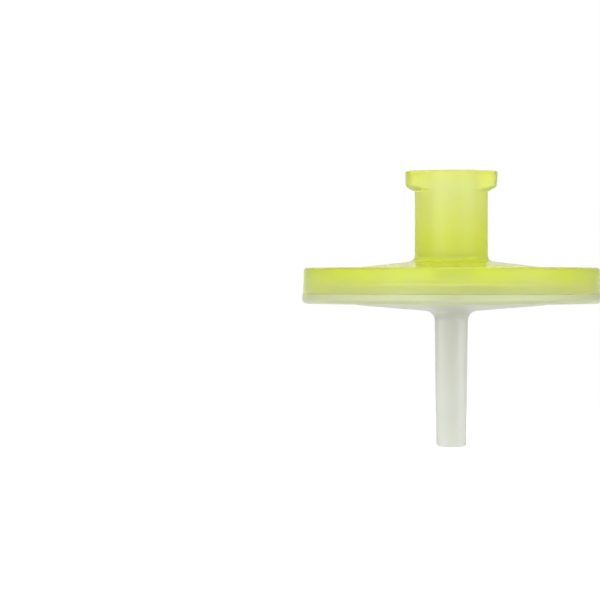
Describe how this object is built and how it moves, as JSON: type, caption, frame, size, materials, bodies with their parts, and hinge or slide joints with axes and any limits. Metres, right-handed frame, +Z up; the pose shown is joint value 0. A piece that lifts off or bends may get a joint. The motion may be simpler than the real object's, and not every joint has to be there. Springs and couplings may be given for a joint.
{
  "type": "syringe filter",
  "caption": "Disc filter for a syringe: welded translucent housing with a tapered lug inlet hub above, a clamped membrane inside and a slim outlet tube below.",
  "frame": {"origin": "centre of the outlet tube's tip, on the axis of the disc", "axes": "+Z up the flow axis, from the outlet tube to the inlet hub; +X through the two locking lugs"},
  "size_m": [0.0254, 0.0254, 0.0235],
  "materials": {
    "cover_plastic": "satin",
    "base_plastic": "satin",
    "membrane": "matte"
  },
  "bodies": {
    "root": {"inlet_housing": "cover_plastic", "outlet_housing": "base_plastic", "filter_membrane": "membrane"}
  },
  "joints": []
}
